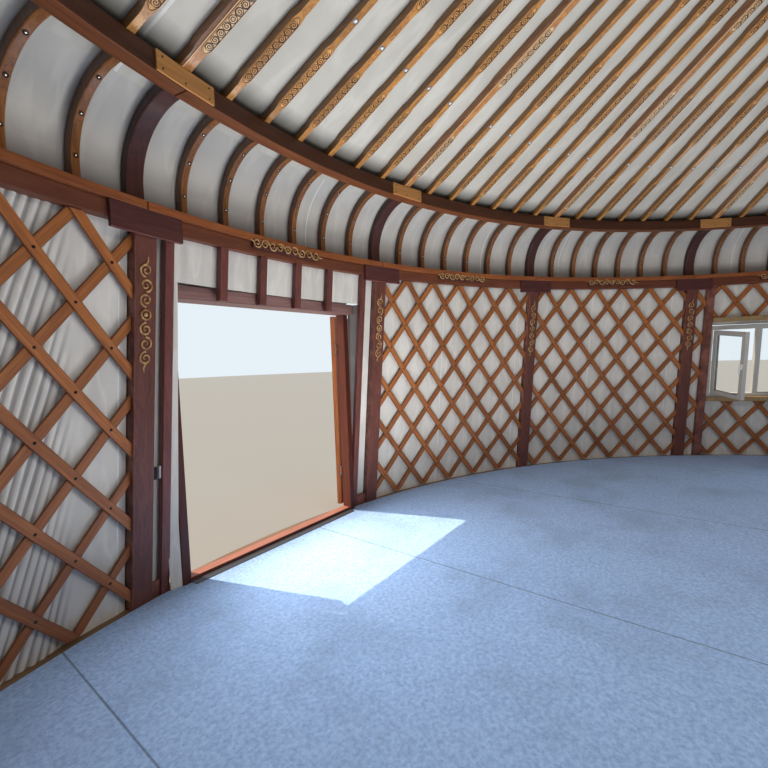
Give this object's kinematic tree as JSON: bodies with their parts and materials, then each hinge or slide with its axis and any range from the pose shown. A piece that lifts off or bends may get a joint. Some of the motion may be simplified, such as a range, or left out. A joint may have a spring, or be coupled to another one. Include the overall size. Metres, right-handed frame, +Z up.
{
  "type": "large timber yurt with a raised eave",
  "caption": "Round timber-framed tent house with leaning lattice walls, a curved raised eave, radiating roof poles, a crown and a double door.",
  "frame": {"origin": "centre of the floor deck's underside, on the ground", "axes": "+Z up, -Y out through the doorway, +X to the left of a person who looks out through the doorway"},
  "size_m": [12.352, 12.5595, 5.5527],
  "materials": {
    "deck_timber": "sawn boards",
    "floor_sheet": "matt sheet",
    "maroon_timber": "satin paint",
    "red_timber": "satin paint",
    "rail_timber": "varnished",
    "cap_timber": "varnished",
    "rib_timber": "varnished",
    "ring_timber": "varnished",
    "plywood": "bare",
    "pole_timber": "varnished",
    "lattice_timber": "varnished",
    "pale_timber": "bare",
    "dome_glazing": "clear",
    "window_glazing": "clear",
    "window_plastic": "smooth",
    "felt": "felt",
    "canvas": "woven canvas",
    "hinge_steel": "plain steel",
    "door_timber": "varnished"
  },
  "bodies": {
    "frame": {"floor_deck": "deck_timber", "floor_covering": "floor_sheet", "posts": "maroon_timber", "bolsters": "maroon_timber", "lower_ring_rail": "rail_timber", "lower_ring_cap": "cap_timber", "main_ribs": "maroon_timber", "ribs": "rib_timber", "upper_ring": "ring_timber", "splice_plates": "plywood", "roof_poles_front": "pole_timber", "roof_poles_back": "pole_timber", "main_rafters": "pole_timber", "crown_ring": "ring_timber", "crown_bars_long": "rib_timber", "crown_bars_cross": "rib_timber", "crown_dome": "dome_glazing", "lattice_front_left": "lattice_timber", "lattice_front_right": "lattice_timber", "lattice_left": "lattice_timber", "lattice_right": "lattice_timber", "lattice_back_left": "lattice_timber", "lattice_back_right": "lattice_timber", "wall_cover": "felt", "wall_canvas": "canvas", "eave_cover": "canvas", "roof_cover": "canvas", "door_jambs": "red_timber", "door_head": "red_timber", "door_threshold": "red_timber", "door_studs": "maroon_timber", "door_cover": "felt", "door_cheeks": "felt", "door_hinges": "hinge_steel", "window_studs": "maroon_timber", "window_boards": "pale_timber", "window_frames": "window_plastic", "window_sashes": "window_plastic", "window_glass": "window_glazing"},
    "door_left": {"door_leaf_left": "door_timber"},
    "door_right": {"door_leaf_right": "door_timber"}
  },
  "joints": [
    {"name": "door_left_hinge", "type": "hinge", "parent": "frame", "child": "door_left", "pos_m": [0.847, -6.072, 1], "axis": [0, 0, 1], "range_deg": [-165, 5]},
    {"name": "door_right_hinge", "type": "hinge", "parent": "frame", "child": "door_right", "pos_m": [-0.847, -6.072, 1], "axis": [0, 0, -1], "range_deg": [-165, 5]}
  ]
}
